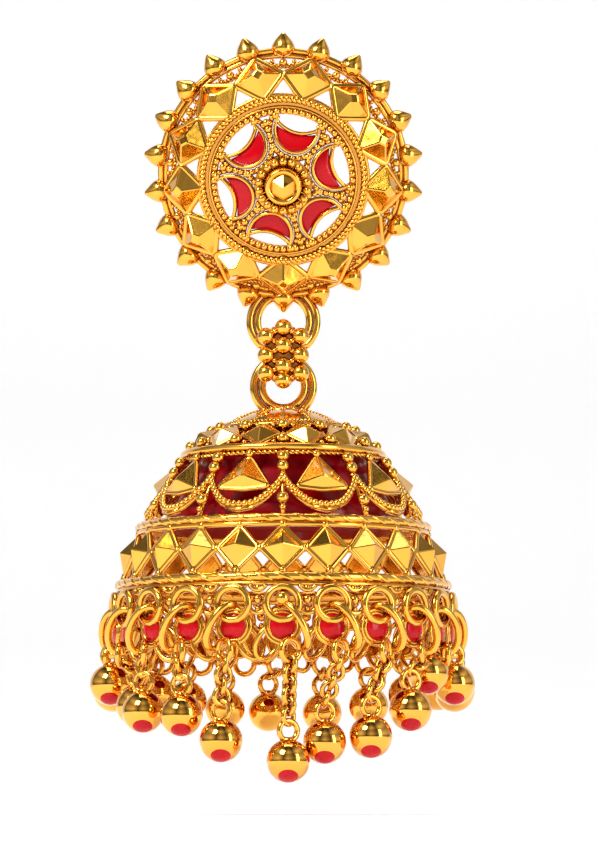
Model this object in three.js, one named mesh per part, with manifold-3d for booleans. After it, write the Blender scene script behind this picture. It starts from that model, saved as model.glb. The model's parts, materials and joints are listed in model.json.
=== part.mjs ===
// A jhumka earring: a domed openwork stud, a beaded link, and a tiered openwork bell with a
// fringe of chains that end in balls. Millimetres, +Z up, the wearer's front towards -Y.
// The origin is on the ear post's axis, in the plane of the stud's rim, where the stud meets
// the ear lobe.
import * as THREE from "three";
import { mergeVertices } from "three/addons/utils/BufferGeometryUtils.js";
import Module from "manifold-3d";

const wasm = await Module();
wasm.setup();

// Driving dimensions of the stud. Heights are distances in front of the rim's plane.
const STUD_DROOP = 16;
const RIM = { outer: 9.1, inner: 8.45, halfDepth: 0.35 };
const SPIKES = { count: 22, baseRadius: 0.62, length: 1.3, tip: 9.95 };
const PETALS = {
  count: 13, radius: 7.5, halfWidth: 1.78, halfHeight: 1.5, front: 1.1, back: 0.35,
  height: 1.0, slope: 30, sink: 0.15,
};
const ROPE_RING = { outer: 6.15, inner: 4.7, front: 2.2, back: 1.2, sink: 0.3 };
const MOONS = {
  count: 6, first: 14, radius: 3.15, height: 2.1, slope: 17, sink: 0.4,
  frameHalfWidth: 1.78, frameRise: 0.8, frameDrop: 1.2, frameDepth: 0.6,
  enamelHalfWidth: 1.33, enamelRise: 0.45, enamelDrop: 0.9, enamelDepth: 0.3, enamelGap: 0.1,
};
const SPOKES = { inner: 1.3, outer: 4.9, width: 0.75, depth: 0.5, height: 2.45 };
const BUTTON = {
  grainRadius: 2.0, collarRadius: 1.3, coneRadius: 1.0,
  back: 2.4, grainFront: 3.1, collarFront: 3.6, tip: 4.3, sink: 0.6,
};
const POST = { diameter: 0.9, back: 9.5, front: 2.2, padRadius: 1.6, padDepth: 0.4, tipLength: 0.8 };

// The two double-wire rings and the link between them. Both rings lie in one upright plane.
const RING_PLANE = 2.9;
const UPPER_RING = {
  centre: -10.47, outer: 2.72, inner: 1.62, outerFlat: 2.06, innerFlat: 0.98, depth: 0.55,
};
const LOWER_RING = {
  centre: -15.26, outer: 2.46, inner: 1.26, outerFlat: 2.16, innerFlat: 0.96, depth: 0.6,
};
const BAIL = {
  halfWidth: 0.9, halfDepth: 0.72, wall: 0.42, top: -11.3, bottom: -14.45, cornerRadius: 0.3,
};
const BACKING = { width: 2.4, depth: 0.5, height: 3.6, centre: -13.1, solderOverlap: 0.08 };
const BEAD_RADIUS = 0.63;
const BEAD_FORWARD = 1.78;
const BEAD_COLUMNS = [
  { side: 0, heights: [-11.16, -12.49, -13.99, -14.98] },
  { side: -1.24, heights: [-11.79, -13.17, -14.49] },
  { side: 1.24, heights: [-11.79, -13.17, -14.49] },
];

// The bell's outside: rings and tiers from the neck down to the mouth. A wall's inside sits
// lower than its outside by a share of its thickness, because the wall leans.
const WALL = 0.5;
const WALL_LEAN = 0.6;
const CAP_PROFILE = [
  { radius: 1.15, height: -17.15 },
  { radius: 2.9, height: -17.55 },
  { radius: 4.6, height: -18.4 },
];
const BANDS = [
  { radius: 4.6, height: -18.45, thickness: 0.5 },
  { radius: 7.1, height: -20.35, thickness: 0.75 },
  { radius: 10.3, height: -25.65, thickness: 0.85 },
  { radius: 11.7, height: -29.85, thickness: 1.0 },
];
// A band's section: its corners' distances outwards and up, as shares of half its thickness.
const BAND_SECTION = [
  { outwards: -1, up: 0.5 },
  { outwards: -0.5, up: -1 },
  { outwards: 1, up: -0.4 },
  { outwards: 0.5, up: 1 },
];
const NECK = { radius: 1.15, topRadius: 0.69, top: -16.9, bottom: -17.7 };
const CAP_GEMS = { count: 12, halfWidth: 1.55, halfHeight: 1.75, front: 0.7, back: 0.3 };
const SCALLOPS = { count: 10, cutDepth: 2.4 };
const TRIANGLES = { radius: 1.95, height: 0.9, squeeze: 0.95, forward: 0.35, up: 0.45 };
const TIER_GEMS = { count: 22, halfWidth: 1.68, halfHeight: 2.0, front: 1.0, back: 0.35 };
const LINING = { gap: 0.45, wall: 0.35 };
// The lining's rings, as distances outwards and up from the band or bands they are named for.
const LINING_RINGS = [
  { bands: [0], outwards: -0.2, up: -0.35 },
  { bands: [1], outwards: -0.35, up: -0.2 },
  { bands: [1, 2], outwards: 0.05, up: 0 },
  { bands: [2], outwards: -0.3, up: 0.5 },
];

// The fringe under the lowest band: an eyelet, an enamel disc and a chain with a ball a column.
const COLUMNS = 22;
const EYELET = { radius: 11.9, height: -31.5, outer: 1.42, inner: 0.9, depth: 0.4, ear: 1.8 };
const DISC = { outer: 1.35, below: 1.6 };
const ENAMEL_DISC = { outer: 1.0, depth: 0.2, gap: 0.12, below: 0.2 };
const CHAIN = { radius: 0.36, startRadius: 12.9, start: -33.1, hookDrop: 2.2 };
const BALL = { diameter: 3, ringRadius: 12.5 };
// One row a column, from the front centre round by the right side: the ball's height, its
// turn from its column, and how far it hangs inwards.
const DROPS = [
  { ball: -42.6, turn: 1.8, inwards: 0 },
  { ball: -41.3, turn: -2, inwards: 0.8 },
  { ball: -40.9, turn: -3.5, inwards: 0 },
  { ball: -39.0, turn: -3.5, inwards: 0 },
  { ball: -36.3, turn: -1, inwards: 1.1 },
  { ball: -37.0, turn: -3, inwards: 0 },
  { ball: -37.4, turn: -2, inwards: 0 },
  { ball: -37.2, turn: 0, inwards: 0 },
  { ball: -37.4, turn: 1, inwards: 0 },
  { ball: -38.2, turn: 2, inwards: 0 },
  { ball: -38.7, turn: 3, inwards: 0 },
  { ball: -38.6, turn: 5.5, inwards: 0 },
  { ball: -38.4, turn: 4.5, inwards: 0 },
  { ball: -37.8, turn: 3, inwards: 0 },
  { ball: -37.4, turn: 1.5, inwards: 0 },
  { ball: -37.2, turn: 0, inwards: 0 },
  { ball: -37.4, turn: 0, inwards: 0 },
  { ball: -37.0, turn: -1, inwards: 0 },
  { ball: -38.6, turn: 0, inwards: 1.1 },
  { ball: -39.1, turn: -2.5, inwards: 0 },
  { ball: -39.4, turn: -1.5, inwards: 0 },
  { ball: -41.2, turn: -3.5, inwards: 0 },
];

const ROUND_SIDES = 36;
const ROD_SIDES = 16;
const GOLD = { color: 0xe0a526, roughness: 0.22, metalness: 1 };
const ENAMEL = { color: 0xb4000f, roughness: 0.12, metalness: 0 };

const radians = THREE.MathUtils.degToRad;

// A closed mesh as a solid, with its shared corners merged and its empty triangles dropped.
function solid(geometry) {
  const bare = geometry.clone();
  bare.deleteAttribute("normal");
  bare.deleteAttribute("uv");
  const merged = mergeVertices(bare, 1e-4);
  const corners = Array.from(merged.index.array);
  const kept = [];
  for (let i = 0; i < corners.length; i += 3) {
    const [a, b, c] = corners.slice(i, i + 3);
    if (a !== b && b !== c && c !== a) {
      kept.push(a, b, c);
    }
  }
  const mesh = new wasm.Mesh({
    numProp: 3,
    vertProperties: new Float32Array(merged.attributes.position.array),
    triVerts: new Uint32Array(kept),
  });
  return new wasm.Manifold(mesh);
}

function join(solids) {
  return solids.reduce((whole, piece) => whole.add(piece));
}

function namedMesh(name, shape, finish) {
  const data = shape.getMesh();
  const geometry = new THREE.BufferGeometry();
  const points = new THREE.BufferAttribute(new Float32Array(data.vertProperties), 3);
  geometry.setAttribute("position", points);
  geometry.setIndex(new THREE.BufferAttribute(new Uint32Array(data.triVerts), 1));
  geometry.computeVertexNormals();
  const mesh = new THREE.Mesh(geometry, new THREE.MeshStandardMaterial(finish));
  mesh.name = name;
  return mesh;
}

// A ring or disc turned about the Y axis from corners given as [radius, y].
function turned(corners, sides = ROUND_SIDES) {
  const closed = [...corners, corners[0]];
  return new THREE.LatheGeometry(closed.map(([r, y]) => new THREE.Vector2(r, y)), sides);
}

// The same, about the Z axis, from corners given as [radius, z].
function turnedUpright(corners, sides = ROUND_SIDES) {
  return turned(corners, sides).rotateX(Math.PI / 2);
}

// A faceted stone shape in the XZ plane, with its high point towards -Y.
function gem({ halfWidth, halfHeight, front, back }) {
  const geometry = new THREE.OctahedronGeometry(1, 0);
  const place = geometry.attributes.position;
  for (let i = 0; i < place.count; i += 1) {
    const depth = place.getY(i) < 0 ? front : back;
    place.setXYZ(i, place.getX(i) * halfWidth, place.getY(i) * depth, place.getZ(i) * halfHeight);
  }
  return geometry;
}

// A flat outline in X and Z, given depth and centred on y = 0.
function plate(outline, depth, holes = []) {
  const shape = new THREE.Shape(outline);
  shape.holes = holes.map((points) => new THREE.Path(points));
  const geometry = new THREE.ExtrudeGeometry(shape, { depth, bevelEnabled: false, steps: 1 });
  return geometry.rotateX(Math.PI / 2).translate(0, depth / 2, 0);
}

// A circle with one side cut flat: up is 1 for a flat at the top and -1 at the bottom.
function flattenedCircle(radius, flat, up, sides = 36) {
  const points = [];
  for (let i = 0; i < sides; i += 1) {
    const angle = (2 * Math.PI * i) / sides;
    const towards = up * Math.sin(angle);
    const reach = towards > flat / radius ? flat / towards : radius;
    points.push(new THREE.Vector2(reach * Math.cos(angle), reach * Math.sin(angle)));
  }
  return points;
}

function doubleWireRing({ centre, outer, inner, outerFlat, innerFlat, depth }, up) {
  const outline = flattenedCircle(outer, outerFlat, up);
  const hole = flattenedCircle(inner, innerFlat, up);
  return plate(outline, depth, [hole]).translate(0, RING_PLANE, centre);
}

// A half moon with its straight side up.
function halfMoon(halfWidth, rise, drop, steps = 7) {
  const points = [];
  for (let i = 0; i <= steps; i += 1) {
    const angle = Math.PI + (Math.PI * i) / steps;
    const height = rise + (rise + drop) * Math.sin(angle);
    points.push(new THREE.Vector2(halfWidth * Math.cos(angle), height));
  }
  return points;
}

// Copies of a piece made at twelve o'clock, turned round the stud's axis and sunk a little.
function aroundStud(geometry, count, sink, first = 0) {
  const copies = [];
  for (let i = 0; i < count; i += 1) {
    const angle = radians(first + (360 * i) / count);
    copies.push(geometry.clone().rotateY(angle).translate(0, 0, -sink));
  }
  return copies;
}

function droop(geometry) {
  return geometry.rotateX(radians(STUD_DROOP));
}

function studRim() {
  const { outer, inner, halfDepth } = RIM;
  return turned([[inner, -halfDepth], [outer, -halfDepth], [outer, halfDepth], [inner, halfDepth]]);
}

function studSpikes() {
  const spike = new THREE.ConeGeometry(SPIKES.baseRadius, SPIKES.length, 5);
  spike.rotateX(Math.PI / 2).translate(0, 0, SPIKES.tip - SPIKES.length / 2);
  return aroundStud(spike, SPIKES.count, 0);
}

function studPetals() {
  const petal = gem(PETALS).rotateX(-radians(PETALS.slope));
  petal.translate(0, -PETALS.height, PETALS.radius);
  return aroundStud(petal, PETALS.count, PETALS.sink, 180 / PETALS.count);
}

function ropeRing() {
  const { outer, inner, front, back, sink } = ROPE_RING;
  const ring = turned([[inner, -front], [outer, -front], [outer, -back], [inner, -back]]);
  return ring.translate(0, 0, -sink);
}

// Puts a piece made flat at the origin on the dome, at a half moon's place.
function ontoDome(geometry) {
  return geometry.rotateX(-radians(MOONS.slope)).translate(0, -MOONS.height, MOONS.radius);
}

function moonFrames() {
  const frame = halfMoon(MOONS.frameHalfWidth, MOONS.frameRise, MOONS.frameDrop);
  const solids = ontoDome(plate(frame, MOONS.frameDepth));
  return aroundStud(solids, MOONS.count, MOONS.sink, MOONS.first);
}

function moonEnamels() {
  const outline = halfMoon(MOONS.enamelHalfWidth, MOONS.enamelRise, MOONS.enamelDrop);
  const front = (MOONS.frameDepth + MOONS.enamelDepth) / 2 + MOONS.enamelGap;
  const enamel = plate(outline, MOONS.enamelDepth).translate(0, -front, 0);
  return aroundStud(ontoDome(enamel), MOONS.count, MOONS.sink, MOONS.first);
}

function studSpokes() {
  const length = SPOKES.outer - SPOKES.inner;
  const spoke = new THREE.BoxGeometry(SPOKES.width, SPOKES.depth, length);
  spoke.rotateX(-radians(MOONS.slope));
  spoke.translate(0, -SPOKES.height, (SPOKES.outer + SPOKES.inner) / 2);
  return aroundStud(spoke, MOONS.count, MOONS.sink, MOONS.first + 180 / MOONS.count);
}

function centreButton() {
  const b = BUTTON;
  const corners = [
    [0, -b.tip], [b.coneRadius, -b.collarFront], [b.collarRadius, -b.collarFront],
    [b.collarRadius, -b.grainFront], [b.grainRadius, -b.grainFront],
    [b.grainRadius, -b.back], [0, -b.back],
  ];
  const points = corners.map(([r, y]) => new THREE.Vector2(r, y));
  return new THREE.LatheGeometry(points, 18).translate(0, 0, -b.sink);
}

function studRosette() {
  const fronts = [
    studRim(), ...studSpikes(), ...studPetals(), ropeRing(),
    ...moonFrames(), ...studSpokes(), centreButton(),
  ];
  const rosette = join(fronts.map((piece) => solid(droop(piece))));
  return rosette.add(solid(doubleWireRing(UPPER_RING, -1)));
}

function earPost() {
  const rod = POST.diameter / 2;
  const corners = [
    [0, -POST.front], [POST.padRadius, -POST.front], [POST.padRadius, POST.padDepth - POST.front],
    [rod, POST.padDepth - POST.front], [rod, POST.back - POST.tipLength],
    [rod / 3, POST.back], [0, POST.back],
  ];
  const points = corners.map(([r, y]) => new THREE.Vector2(r, y));
  return droop(new THREE.LatheGeometry(points, ROD_SIDES));
}

// A belt with rounded ends in the YZ plane, as wide as the bail in X.
function bailLoop() {
  const beltOutline = (grow) => {
    const halfDepth = BAIL.halfDepth + grow;
    const top = BAIL.top + grow;
    const bottom = BAIL.bottom - grow;
    const round = BAIL.cornerRadius + grow;
    const shape = new THREE.Path();
    shape.moveTo(-halfDepth, bottom + round);
    shape.absarc(-halfDepth + round, bottom + round, round, Math.PI, 1.5 * Math.PI);
    shape.absarc(halfDepth - round, bottom + round, round, 1.5 * Math.PI, 2 * Math.PI);
    shape.absarc(halfDepth - round, top - round, round, 0, 0.5 * Math.PI);
    shape.absarc(-halfDepth + round, top - round, round, 0.5 * Math.PI, Math.PI);
    return shape.getPoints(2);
  };
  const shape = new THREE.Shape(beltOutline(BAIL.wall));
  shape.holes = [new THREE.Path(beltOutline(0))];
  const width = 2 * BAIL.halfWidth;
  const belt = new THREE.ExtrudeGeometry(shape, { depth: width, bevelEnabled: false, steps: 1 });
  belt.translate(0, 0, -width / 2).rotateX(Math.PI / 2).rotateZ(Math.PI / 2);
  return belt.translate(0, RING_PLANE, 0);
}

function linkCluster() {
  const pieces = [solid(bailLoop())];
  for (const { side, heights } of BEAD_COLUMNS) {
    for (const height of heights) {
      const bead = new THREE.SphereGeometry(BEAD_RADIUS, 8, 5).rotateX(Math.PI / 2);
      pieces.push(solid(bead.translate(side, RING_PLANE - BEAD_FORWARD, height)));
    }
  }
  const { width, depth, height, centre, solderOverlap } = BACKING;
  const bailFront = RING_PLANE - BAIL.halfDepth - BAIL.wall;
  const backing = new THREE.BoxGeometry(width, depth, height);
  pieces.push(solid(backing.translate(0, bailFront + solderOverlap - depth / 2, centre)));
  return join(pieces);
}

// Turns a piece made at the front of the bell, facing -Y on the axis, round to an angle.
function aroundBell(geometry, degrees) {
  return geometry.rotateZ(radians(degrees)).translate(0, RING_PLANE, 0);
}

// Lays a flat piece on the bell's wall half way between two bands.
function ontoWall(geometry, upper, lower) {
  const slope = Math.atan2(lower.radius - upper.radius, upper.height - lower.height);
  const radius = (upper.radius + lower.radius) / 2;
  const height = (upper.height + lower.height) / 2;
  return geometry.rotateX(-slope).translate(0, -radius, height);
}

function bandRing({ radius, height, thickness }) {
  const half = thickness / 2;
  const corners = BAND_SECTION.map(({ outwards, up }) => [
    radius + half * outwards, height + half * up,
  ]);
  return solid(turnedUpright(corners).translate(0, RING_PLANE, 0));
}

// The wall between two heights, as a shell with its outside on the given rings.
function wallShell(rings, wall = WALL, inset = 0) {
  const inwards = (depth) => rings.map(({ radius, height }) => [
    radius - depth, height - depth * WALL_LEAN,
  ]);
  const corners = [...inwards(inset + wall), ...inwards(inset).reverse()];
  return solid(turnedUpright(corners).translate(0, RING_PLANE, 0));
}

function capDome() {
  const { radius, topRadius, top, bottom } = NECK;
  const corners = [[0, bottom], [radius, bottom], [topRadius, top], [0, top]];
  const neck = new THREE.LatheGeometry(corners.map(([r, z]) => new THREE.Vector2(r, z)), ROD_SIDES);
  neck.rotateX(Math.PI / 2).translate(0, RING_PLANE, 0);
  return [wallShell(CAP_PROFILE), solid(neck)];
}

function gemRow(shape, upper, lower, first) {
  const row = [];
  for (let i = 0; i < shape.count; i += 1) {
    const placed = ontoWall(gem(shape), upper, lower);
    row.push(solid(aroundBell(placed, first + (360 * i) / shape.count)));
  }
  return row;
}

// One opening of the scalloped tier, as corners [across, up] on the wall's middle.
const SCALLOP_WINDOWS = [
  [[-1.3, -0.75], [1.3, -0.75], [0.7, -1.6], [-0.7, -1.6]],
  [[-2.0, -0.4], [-0.45, 2.3], [-1.75, 2.3]],
  [[2.0, -0.4], [1.75, 2.3], [0.45, 2.3]],
];

// A low three-sided pyramid that points upwards, with its high point towards -Y.
function triangle() {
  const { radius, height, squeeze, forward, up } = TRIANGLES;
  const pyramid = new THREE.ConeGeometry(radius, height, 3).scale(squeeze, 1, squeeze);
  return pyramid.rotateX(Math.PI).rotateY(Math.PI).translate(0, -forward, up);
}

function scallopTier(upper, lower) {
  const wall = wallShell([upper, lower]);
  const windows = [];
  const triangles = [];
  for (let i = 0; i < SCALLOPS.count; i += 1) {
    const angle = (360 * (i + 0.5)) / SCALLOPS.count;
    for (const corners of SCALLOP_WINDOWS) {
      const outline = corners.map(([x, z]) => new THREE.Vector2(x, z));
      const cutter = ontoWall(plate(outline, SCALLOPS.cutDepth), upper, lower);
      windows.push(solid(aroundBell(cutter, angle)));
    }
    triangles.push(solid(aroundBell(ontoWall(triangle(), upper, lower), angle)));
  }
  return wall.subtract(join(windows)).add(join(triangles));
}

// An arc's points about a centre at [0, height], from one angle to another.
function arc(radius, height, from, to, steps) {
  const points = [];
  for (let i = 0; i <= steps; i += 1) {
    const angle = radians(from + ((to - from) * i) / steps);
    points.push(new THREE.Vector2(radius * Math.cos(angle), height + radius * Math.sin(angle)));
  }
  return points;
}

// An eyelet with its disc below, and an ear on each side that is soldered to its neighbour's.
function eyelets() {
  const outline = [
    new THREE.Vector2(EYELET.ear, 0),
    ...arc(EYELET.outer, 0, 20, 160, 4),
    new THREE.Vector2(-EYELET.ear, 0),
    ...arc(DISC.outer, -DISC.below, 160, 380, 6),
  ];
  const hole = arc(EYELET.inner, 0, 0, 300, 5);
  const rings = [];
  for (let i = 0; i < COLUMNS; i += 1) {
    const ring = plate(outline, EYELET.depth, [hole]);
    ring.translate(0, -EYELET.radius, EYELET.height);
    rings.push(solid(aroundBell(ring, (360 * i) / COLUMNS)));
  }
  return rings;
}

function bellShell() {
  const [cap, waist, hip, hem] = BANDS;
  const pieces = [
    ...capDome(),
    ...BANDS.map(bandRing),
    ...gemRow(CAP_GEMS, cap, waist, 180 / CAP_GEMS.count),
    scallopTier(waist, hip),
    ...gemRow(TIER_GEMS, hip, hem, 0),
    ...eyelets(),
    solid(doubleWireRing(LOWER_RING, 1)),
  ];
  return join(pieces);
}

// The thin red lining inside the cap and the scalloped tier.
function redLining() {
  const mean = (bands, key) => bands.reduce((sum, i) => sum + BANDS[i][key], 0) / bands.length;
  const rings = LINING_RINGS.map(({ bands, outwards, up }) => ({
    radius: mean(bands, "radius") + outwards, height: mean(bands, "height") + up,
  }));
  return wallShell(rings, LINING.wall, WALL + LINING.gap);
}

function enamelDisc(index) {
  const outline = flattenedCircle(ENAMEL_DISC.outer, ENAMEL_DISC.outer * 2, 1, 8);
  const front = EYELET.radius + (EYELET.depth + ENAMEL_DISC.depth) / 2 + ENAMEL_DISC.gap;
  const height = EYELET.height - DISC.below - ENAMEL_DISC.below;
  const disc = plate(outline, ENAMEL_DISC.depth).translate(0, -front, height);
  return solid(aroundBell(disc, (360 * index) / COLUMNS));
}

// A chain from its eyelet down to its ball, with the ball on its end.
function chainDrop(index) {
  const { ball, turn, inwards } = DROPS[index];
  const column = (360 * index) / COLUMNS;
  const point = (radius, degrees, height) => {
    const angle = radians(column + degrees);
    const [x, y] = [radius * Math.sin(angle), RING_PLANE - radius * Math.cos(angle)];
    return new THREE.Vector3(x, y, height);
  };
  const ballRadius = BALL.diameter / 2;
  const top = point(CHAIN.startRadius, 0, CHAIN.start);
  const centre = point(BALL.ringRadius - inwards, turn, ball);
  const bend = point(CHAIN.startRadius, turn, CHAIN.start - CHAIN.hookDrop);
  const path = new THREE.CatmullRomCurve3([top, bend, centre]);
  const section = new THREE.Shape(flattenedCircle(CHAIN.radius, 1, 1, 8));
  const sweep = { steps: 2, extrudePath: path, bevelEnabled: false };
  const tube = new THREE.ExtrudeGeometry(section, sweep);
  const sphere = new THREE.SphereGeometry(ballRadius, 10, 6).rotateX(Math.PI / 2);
  return solid(tube).add(solid(sphere.translate(centre.x, centre.y, centre.z)));
}

function numbered(name, index) {
  return `${name}_${String(index + 1).padStart(2, "0")}`;
}

const earring = new THREE.Group();
earring.add(namedMesh("stud_rosette", studRosette(), GOLD));
moonEnamels().forEach((piece, i) => {
  earring.add(namedMesh(numbered("stud_enamel", i), solid(droop(piece)), ENAMEL));
});
earring.add(namedMesh("ear_post", solid(earPost()), GOLD));
earring.add(namedMesh("link_cluster", linkCluster(), GOLD));
earring.add(namedMesh("bell_shell", bellShell(), GOLD));
earring.add(namedMesh("red_lining", redLining(), ENAMEL));
for (let i = 0; i < COLUMNS; i += 1) {
  earring.add(namedMesh(numbered("fringe_enamel", i), enamelDisc(i), ENAMEL));
  earring.add(namedMesh(numbered("chain_drop", i), chainDrop(i), GOLD));
}

export default earring;
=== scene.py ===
# %% [markdown]
# # A jhumka earring
#
# A jhumka is a bell-shaped drop earring. This one has a domed openwork stud, a beaded link and a
# bell in three tiers with a fringe of fine chains that end in polished balls. The goldsmith
# solders it together from a few kinds of stock: plain wire, twisted wire, round grains and
# small faceted plates. The lesson does the same: it first makes a helper for each kind of
# stock, and then lays the stock out in rings.

# %% Load the fixed model
import json
import math

import bmesh
import bpy
import numpy as np
from mathutils import Matrix, Vector


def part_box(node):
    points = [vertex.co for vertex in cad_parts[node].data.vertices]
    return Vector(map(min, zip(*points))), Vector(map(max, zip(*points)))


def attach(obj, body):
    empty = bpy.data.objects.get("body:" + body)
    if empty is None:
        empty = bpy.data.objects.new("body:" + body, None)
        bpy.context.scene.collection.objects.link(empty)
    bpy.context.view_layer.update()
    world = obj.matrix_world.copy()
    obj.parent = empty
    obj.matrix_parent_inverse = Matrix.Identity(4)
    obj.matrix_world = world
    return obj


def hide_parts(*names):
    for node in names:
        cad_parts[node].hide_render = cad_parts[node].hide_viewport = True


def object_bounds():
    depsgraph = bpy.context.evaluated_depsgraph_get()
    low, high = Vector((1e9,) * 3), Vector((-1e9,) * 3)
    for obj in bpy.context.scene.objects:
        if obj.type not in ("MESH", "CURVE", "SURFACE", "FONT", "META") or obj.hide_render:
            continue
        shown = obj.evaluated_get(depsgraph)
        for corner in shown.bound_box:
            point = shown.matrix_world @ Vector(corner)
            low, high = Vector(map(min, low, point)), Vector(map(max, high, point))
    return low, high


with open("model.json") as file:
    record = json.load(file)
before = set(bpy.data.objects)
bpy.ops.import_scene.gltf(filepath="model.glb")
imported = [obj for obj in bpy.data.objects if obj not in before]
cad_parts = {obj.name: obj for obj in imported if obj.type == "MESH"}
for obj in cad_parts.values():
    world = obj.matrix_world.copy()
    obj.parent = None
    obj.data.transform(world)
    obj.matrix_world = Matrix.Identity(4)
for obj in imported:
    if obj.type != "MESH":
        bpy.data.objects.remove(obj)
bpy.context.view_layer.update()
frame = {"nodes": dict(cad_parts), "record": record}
MM = 0.001
TURN = 2 * math.pi
print("nodes:", len(frame["nodes"]))

# %% [markdown]
# ## Places taken from the fixed model
#
# The stud faces a little downwards, because the bell pulls on it, so everything on it is made
# upright first and leaned over at the end. The post's direction says how far. The bell turns
# about an upright line through its lining's centre.

# %% Read the places
post_axis = frame["record"]["mounts"][0]["axis"]
droop = Matrix.Rotation(math.atan2(post_axis[2], post_axis[1]), 4, "X")
lining_low, lining_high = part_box("red_lining")
ring_plane = (lining_low[1] + lining_high[1]) / 2 / MM
print("the bell's line is", round(ring_plane, 2), "mm behind the stud's rim")

# %% [markdown]
# ## Gathering a piece
#
# A piece such as a tier of the bell holds thousands of grains and wires. Making each one as an
# object and joining them is slow, so a pile collects plain arrays of points and faces, in
# millimetres, and becomes one mesh at the end. Faces keep their own smooth or flat shading, so
# that grains are round and cut plates stay crisp.

# %% The pile
class Pile:
    def __init__(self):
        self.points = []
        self.faces = []
        self.smooth = []
        self.count = 0

    def add(self, shape, place=None, smooth=True):
        points, face_groups = shape
        if place is not None:
            turn = np.array(place)
            points = points @ turn[:3, :3].T + turn[:3, 3]
        self.points.append(points)
        for group in face_groups:
            self.faces.append(group + self.count)
            self.smooth.append(np.full(len(group), smooth))
        self.count += len(points)

    def make(self, name, body, material, slot, stands_for=(), lean=None):
        points = np.concatenate(self.points)
        if lean is not None:
            points = points @ np.array(lean)[:3, :3].T
        loops = np.concatenate([group.ravel() for group in self.faces])
        totals = np.concatenate([np.full(len(g), g.shape[1]) for g in self.faces])
        starts = np.concatenate([[0], np.cumsum(totals)[:-1]])
        mesh = bpy.data.meshes.new(name)
        mesh.vertices.add(len(points))
        mesh.vertices.foreach_set("co", (points * MM).ravel())
        mesh.loops.add(len(loops))
        mesh.loops.foreach_set("vertex_index", loops.astype(np.int32))
        mesh.polygons.add(len(totals))
        mesh.polygons.foreach_set("loop_start", starts.astype(np.int32))
        mesh.update(calc_edges=True)
        mesh.polygons.foreach_set("use_smooth", np.concatenate(self.smooth))
        mesh.validate()
        mesh.materials.append(material)
        piece = bpy.data.objects.new(name, mesh)
        bpy.context.scene.collection.objects.link(piece)
        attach(piece, body)
        if stands_for:
            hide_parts(*stands_for)
        print(name, "triangles:", int((totals - 2).sum()))
        return piece


# %% [markdown]
# ## Round stock: grains and turned shapes
#
# Grains are tiny beads that a goldsmith melts from snippets of wire. A turned shape is any
# outline spun about an axis, such as a ball, a cone or a washer. Both come from one function
# that spins a list of radius and height pairs about the Z axis.

# %% Turned shapes and grains
def grid_faces(rows, columns, wrap_rows=False):
    row_count = rows if wrap_rows else rows - 1
    row, column = np.meshgrid(np.arange(row_count), np.arange(columns), indexing="ij")
    after_row, after_column = (row + 1) % rows, (column + 1) % columns
    corners = [
        row * columns + column, row * columns + after_column,
        after_row * columns + after_column, after_row * columns + column,
    ]
    return np.stack([c.ravel() for c in corners], axis=1)


def spun(outline, sides, ring=False):
    outline = np.array(outline, float)
    angles = np.arange(sides) * TURN / sides
    radius, height = outline[:, :1], outline[:, 1:]
    x = radius * np.cos(angles)
    y = radius * np.sin(angles)
    points = np.stack([x, y, np.broadcast_to(height, x.shape)], axis=2).reshape(-1, 3)
    return points, [grid_faces(len(outline), sides, ring)]


def ball_outline(radius, steps):
    angles = np.linspace(-math.pi / 2, math.pi / 2, steps + 1)
    rims = np.maximum(np.cos(angles), 1e-4)
    return np.stack([radius * rims, radius * np.sin(angles)], axis=1)


def ball(radius, sides=12, steps=8):
    return spun(ball_outline(radius, steps), sides)


# %% [markdown]
# ## Wire and rope
#
# Wire is a round section carried along a path. The section needs a frame that doesn't twist,
# so each step turns the last frame as little as it can. Rope is two wires wound round each
# other, which gives the slanting marks seen on the bell's bands. The winding closes on itself
# when it makes a whole number of turns.

# %% Wire and rope makers
def path_frames(path, closed):
    ahead = np.roll(path, -1, axis=0) - np.roll(path, 1, axis=0)
    if not closed:
        ahead[0], ahead[-1] = path[1] - path[0], path[-1] - path[-2]
    ahead /= np.linalg.norm(ahead, axis=1, keepdims=True)
    start = np.cross(ahead[0], [0.3, 0.2, 0.9])
    sides = [start / np.linalg.norm(start)]
    for direction in ahead[1:]:
        side = sides[-1] - direction * np.dot(sides[-1], direction)
        sides.append(side / np.linalg.norm(side))
    across = np.array(sides)
    if closed:
        last = across[-1] - ahead[0] * np.dot(across[-1], ahead[0])
        up = np.cross(ahead[0], across[0])
        slip = math.atan2(np.dot(last, up), np.dot(last, across[0]))
        fix = -slip * np.arange(len(path)) / len(path)
        up_all = np.cross(ahead, across)
        across = across * np.cos(fix)[:, None] + up_all * np.sin(fix)[:, None]
    return across, np.cross(ahead, across)


def wire(path, radius, sides=8, closed=True):
    path = np.array(path, float)
    across, up = path_frames(path, closed)
    angles = np.arange(sides) * TURN / sides
    reach = np.broadcast_to(np.asarray(radius, float), (len(path),))[:, None, None]
    ring = across[:, None] * np.cos(angles)[:, None] + up[:, None] * np.sin(angles)[:, None]
    points = (path[:, None] + ring * reach).reshape(-1, 3)
    faces = [grid_faces(len(path), sides, closed)]
    if not closed:
        faces.append(np.arange(sides)[None, ::-1])
        faces.append((len(path) - 1) * sides + np.arange(sides)[None])
    return points, faces


def resampled(path, count, closed):
    path = np.array(path, float)
    if closed:
        path = np.vstack([path, path[:1]])
    along = np.concatenate([[0], np.cumsum(np.linalg.norm(np.diff(path, axis=0), axis=1))])
    at = np.linspace(0, along[-1], count, endpoint=not closed)
    return np.stack([np.interp(at, along, path[:, k]) for k in range(3)], axis=1)


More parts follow.
